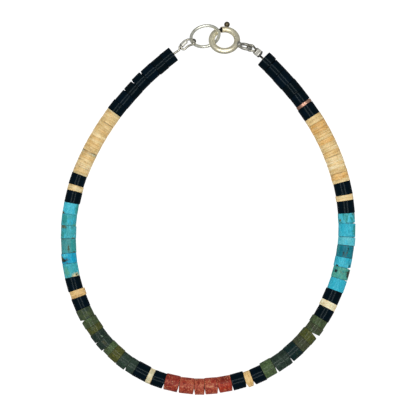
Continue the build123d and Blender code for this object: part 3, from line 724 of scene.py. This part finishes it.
# The spring ring's own place, from its hinge
HINGE = frame["joints"][0]
RING_CENTRE = Vector(HINGE["pos_m"]) / MM
RING_UP = -Vector(HINGE["axis"]).normalized()
RING_RADIUS = 2.425     # of the line in the middle of its tube
TUBE_RADIUS = 0.575
TUBE_WALL = 0.2
EYE_ANGLE = -20.0
TARNISH_ANGLE = 102.0   # the middle of the stain by its mouth
HOLLOW_EDGES = (0.1, 0.04)      # over which the tube's black inside begins, from its inner wall
OUTSIDE_EDGES = (-0.02, 0.06)   # over which what stands outside the tube begins
PATCH_EDGES = (0.27, 0.03)      # over which a patch fades in, from its radius
PATCH_RAGGED = 0.3              # by which noise moves its edge
STAIN_FADE = 0.8                # past a stain's radius, where it begins
STAIN_CORE = 0.4                # it is full within this share of its radius
STAIN_CORE_EDGE = 0.2           # and this much more
STAIN_RAGGED = 0.8              # by which noise moves its edge


def on_ring(distance, angle):
    """A point in the spring ring's plane, in millimetres."""
    turn = math.radians(angle)
    level = Vector((1, 0, 0))
    across = RING_UP.cross(level)
    return RING_CENTRE + level * distance * math.cos(turn) + across * distance * math.sin(turn)


def distance_from(tree, where, place):
    """How far a point of the surface is from a place."""
    return tree.vector("LENGTH", tree.vector("SUBTRACT", where, tuple(place)))


def hollow(tree, where):
    """The inside of the spring ring's tube, where black is painted as shade."""
    apart = tree.vector("SUBTRACT", where, tuple(RING_CENTRE))
    height = tree.vector("DOT_PRODUCT", apart, tuple(RING_UP))
    away = tree.vector("LENGTH", apart)
    level = tree.maths("SQRT", tree.maths("SUBTRACT", tree.maths("MULTIPLY", away, away),
                                          tree.maths("MULTIPLY", height, height)))
    aside = tree.maths("SUBTRACT", level, RING_RADIUS)
    from_line = tree.maths("SQRT", tree.maths("ADD", tree.maths("MULTIPLY", aside, aside),
                                              tree.maths("MULTIPLY", height, height)))
    inner = TUBE_RADIUS - TUBE_WALL
    return tree.between(from_line, *(inner + edge for edge in HOLLOW_EDGES))


def outside_ring(tree, where):
    """What stands outside the spring ring's tube: the eye, or the knob on its stem."""
    outer = RING_RADIUS + TUBE_RADIUS
    away = distance_from(tree, where, RING_CENTRE)
    return tree.between(away, *(outer + edge for edge in OUTSIDE_EDGES))


def patch(place, radius):
    """A patch with a fairly sharp and slightly ragged edge."""
    def share_at(tree, where):
        rough_edge = tree.noise(where, 3.0, 3.0, 0.6)["Fac"]
        away = tree.maths("ADD", distance_from(tree, where, place),
                          tree.maths("MULTIPLY", rough_edge, PATCH_RAGGED))
        return tree.between(away, *(radius + edge for edge in PATCH_EDGES))
    return share_at


def around(place, radius, strength):
    """A soft stain round a place, broken up by noise."""
    def share_at(tree, where):
        rough_edge = tree.noise(where, 2.2, 4.0, 0.7)["Fac"]
        away = tree.maths("ADD", distance_from(tree, where, place),
                          tree.maths("MULTIPLY", rough_edge, STAIN_RAGGED))
        full = STAIN_CORE * radius + STAIN_CORE_EDGE
        return tree.between(away, radius + STAIN_FADE, full, 0.0, strength)
    return share_at


def dark_end_and_inside_shade(tree, where):
    """The end of a crimp by the string, darkened, and its inside, painted dark as shade."""
    return tree.attribute("dark")["Fac"]


STONES = {
    "jet": jet_material(),
    "shell": shell_material(),
    "turquoise": turquoise_material(),
    "green_stone": green_material(),
    "coral_shell": coral_material(),
    "copper": metal_material("copper_disc_metal", (0.56, 0.31, 0.22), (0.34, 0.16, 0.1), 0.36, 0.8,
                             metallic=0.7),
}

# The string
strings, distance, count = {}, 0.0, 0
joint = Joint(0.0, 0.0, *NO_WEDGE)
for run in RUNS:
    strings[run.node] = beads_of(run, distance, joint, count)
    joint = strings[run.node][-1].after
    distance += run.unit_pitch * sum(run.pitches)
    count += len(run.pitches)
key_low, key_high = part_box(KEY_NODE)
shift = (key_low + key_high) / 2 / MM - strings[KEY_NODE][0].centre
shift.z = 0.0
for run in RUNS:
    make_run(run, strings[run.node], shift)

# The clasp
# Painted shade: the black of the spring ring tube's inside.
INSIDE_SHADE = (0.006, 0.006, 0.006)
OXIDE = (0.17, 0.165, 0.14)
TARNISH = (0.6, 0.47, 0.26)
SOLDER = (0.3, 0.3, 0.27)
SILVER = metal_material(
    "silver_worn", (0.86, 0.86, 0.75), (0.6, 0.59, 0.47), 0.38, 0.7, metallic=0.7)
RING_SILVER = metal_material(
    "silver_spring_ring", (0.94, 0.88, 0.66), (0.74, 0.68, 0.47), 0.36, 0.7,
    [(around(on_ring(RING_RADIUS, TARNISH_ANGLE), 1.6, 0.5), TARNISH, 0.5),
     (around(on_ring(RING_RADIUS + TUBE_RADIUS, EYE_ANGLE), 0.7, 0.9), OXIDE, 0.5),
     (patch(on_ring(RING_RADIUS + TUBE_RADIUS, EYE_ANGLE), 0.68), SOLDER, 0.55),
     (outside_ring, (0.42, 0.41, 0.36), 0.4),
     (hollow, INSIDE_SHADE, 0.8)], metallic=0.7)
# Painted shade: the bolt's rod is near black, standing for the dark inside the spring ring's mouth;
# the knob outside the ring keeps a dark olive-brown of its own.
BOLT_IN_SHADE = metal_material(
    "bolt_in_shade", (0.03, 0.03, 0.028), (0.012, 0.012, 0.012), 0.5, 0.8,
    [(outside_ring, (0.17, 0.14, 0.085), 0.6)])
CRIMP_SILVER = metal_material(
    "silver_crimp", (0.86, 0.84, 0.76), (0.6, 0.57, 0.47), 0.45, 0.6,
    [(dark_end_and_inside_shade, (0.05, 0.05, 0.045), 0.5)], metallic=0.6)
WIRE = metal_material("beading_wire_grey", (0.5, 0.48, 0.4), (0.2, 0.18, 0.13), 0.38, 0.7)
for node, material in (("spring_ring", RING_SILVER), ("bolt", BOLT_IN_SHADE), ("jump_ring", SILVER),
                       ("beading_wire", WIRE)):
    shown = frame["nodes"][node]
    shown.data.materials.clear()
    shown.data.materials.append(material)

# Crimps: which way each points to the string, its length, how its flat side leans in degrees,
# the thickness of its wall, the dents that the pliers left as place along it, width and depth, and
# how much of its end by the string is dark
Crimp = namedtuple("Crimp", "node along length roll wall dents dark")
CRIMPS = [
    Crimp("crimp_left", (-0.719, -0.695, 0.0), 1.3, -60.0, 0.12, [(-0.1, 0.45, 0.1)], 0.12),
    Crimp("crimp_right", (0.693, -0.547, -0.469), 1.35, 0.0, 0.25,
          [(-0.6, 0.2, 0.1), (0.0, 0.25, 0.14), (0.55, 0.12, 0.2)], 0.3),
]
CRIMP_HOLE_WIDE = 0.93
CRIMP_HOLE_HIGH = 0.48
CRIMP_SEGMENTS = 56
CRIMP_STATIONS = 25
CRIMP_INNER_STEP = 6    # stations from one ring of the hole to the next
CRIMP_RIM = 0.06        # by which its ends are rounded off
CRIMP_SPREAD = 0.12     # by which a dent widens it
CRIMP_LUMPS = 0.07      # height of its lumps, as a share of its size
LUMPS_ROUND = 2.2
LUMPS_ALONG = 2.6
LUMP_PLACE = 9          # gives each crimp lumps of its own
CRIMP_FLATNESS = 3      # of its section
DARK_FADE = 0.12        # over which its dark end fades


def oval(half_wide, half_high, turn):
    """A point of a flattened round section."""
    side = math.tanh(CRIMP_FLATNESS * math.cos(turn)) / math.tanh(CRIMP_FLATNESS)
    return (half_wide - half_high) * side + half_high * math.cos(turn), half_high * math.sin(turn)


def make_crimp(crimp):
    """A pressed tube for two strands, dented and a little uneven."""
    low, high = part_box(crimp.node)
    middle = (low + high) / 2 / MM
    along = Vector(crimp.along).normalized()
    level = along.cross(Vector((0, 0, 1))).normalized()
    lean = math.radians(crimp.roll)
    across = level * math.cos(lean) + level.cross(along) * math.sin(lean)
    up = across.cross(along)
    half = crimp.length / 2
    vertices, dark = [], []
    inner_wide, inner_high = CRIMP_HOLE_WIDE / 2, CRIMP_HOLE_HIGH / 2
    outer_wide, outer_high = inner_wide + crimp.wall, inner_high + crimp.wall
    places = [-1 + 2 * number / (CRIMP_STATIONS - 1) for number in range(CRIMP_STATIONS)]
    shells = [(place, True) for place in places]
    shells += [(place, False) for place in reversed(places[::CRIMP_INNER_STEP])]
    for place, outside in shells:
        dent = sum(depth * math.exp(-((place - where) / width) ** 2)
                   for where, width, depth in crimp.dents)
        rim = CRIMP_RIM if abs(place) == 1 else 0.0
        # The inside of the tube is painted fully dark, a painted shade.
        wide, tall, shade = inner_wide, inner_high, 1.0
        if outside:
            wide = outer_wide * (1 + CRIMP_SPREAD * dent) - rim
            tall = outer_high * (1 - dent) - rim
            shade = min(1.0, max(0.0, (place - 1 + 2 * crimp.dark) / DARK_FADE))
        for segment in range(CRIMP_SEGMENTS):
            turn = 2 * math.pi * segment / CRIMP_SEGMENTS
            x, y = oval(wide, tall, turn)
            if outside:
                lengthwise = place * LUMPS_ALONG + crimp.length * LUMP_PLACE
                lump = 1 + CRIMP_LUMPS * noise.noise(
                    Vector((x * LUMPS_ROUND, y * LUMPS_ROUND, lengthwise)))
                x, y = x * lump, y * lump
            point = middle + along * half * place + across * x + up * y
            vertices.append(point * MM)
            dark.append(shade)
    faces = ring_faces(len(shells), CRIMP_SEGMENTS)
    built = smooth_object(crimp.node + "_pressed", vertices, faces)
    add_attribute(built.data, "dark", "FLOAT", dark)
    built.data.materials.append(CRIMP_SILVER)
    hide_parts(crimp.node)
    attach(built, "bracelet")


for crimp in CRIMPS:
    make_crimp(crimp)


def floor_material():
    """A white table that glows a little, so that it stays white round the bracelet."""
    tree = Tree("table_white")
    grain = tree.noise(tree.add("ShaderNodeTexCoord").outputs["Object"], TABLE_GRAIN, 2.0)["Fac"]
    tree.set(Base_Color=(TABLE_GREY,) * 3 + (1.0,), Specular_IOR_Level=0.0,
             Roughness=tree.between(grain, 0.3, 0.7, 0.85, 0.95),
             Emission_Color=(1.0, 1.0, 1.0, 1.0), Emission_Strength=TABLE_GLOW)
    return tree.material


def make_floor():
    half = TABLE_SIZE / 2
    corners = [(-half, -half, 0), (half, -half, 0), (half, half, 0), (-half, half, 0)]
    floor = smooth_object("table_top", corners, [(0, 1, 2, 3)])
    floor.location.z = -TABLE_DROP
    # The metal mirrors the dim room from its sides and not the bright table.
    floor.visible_glossy = False
    floor.data.materials.append(floor_material())


def make_lights():
    """A ring of soft lights round the camera's line and a dim even sky."""
    radius = RING_HEIGHT * math.tan(math.radians(RING_ANGLE))
    away = math.hypot(radius, RING_HEIGHT)
    width = 2 * away * math.tan(math.radians(RING_SPREAD / 2))
    length = 2 * math.pi * radius / RING_LIGHTS
    for number in range(RING_LIGHTS):
        turn = 2 * math.pi * number / RING_LIGHTS
        data = bpy.data.lights.new(f"ring_light_{number}", "AREA")
        data.shape = "RECTANGLE"
        data.size = length
        data.size_y = width
        data.energy = RING_POWER * math.pi * length * width
        lamp = bpy.data.objects.new(data.name, data)
        lamp.location = (radius * math.cos(turn), radius * math.sin(turn), RING_HEIGHT)
        inward = Vector(lamp.location) * -1
        lamp.rotation_euler = inward.to_track_quat("-Z", "Y").to_euler()
        bpy.context.scene.collection.objects.link(lamp)
    world = bpy.data.worlds.new("dim_room")
    world.use_nodes = True
    sky = world.node_tree.nodes["Background"]
    sky.inputs["Color"].default_value = SKY_COLOUR + (1.0,)
    sky.inputs["Strength"].default_value = SKY_STRENGTH
    bpy.context.scene.world = world


def make_camera():
    """Straight above, with the photograph's frame at the height of the beads' middle."""
    data = bpy.data.cameras.new("photo_camera")
    data.lens = LENS
    data.sensor_width = SENSOR
    camera = bpy.data.objects.new(data.name, data)
    away = FRAME_WIDTH * LENS / SENSOR
    camera.location = (CAMERA_CENTRE[0] * MM, CAMERA_CENTRE[1] * MM, (CAMERA_PLANE + away) * MM)
    bpy.context.scene.collection.objects.link(camera)
    bpy.context.scene.camera = camera


make_floor()
make_lights()
make_camera()
bpy.context.scene.view_settings.view_transform = "Standard"
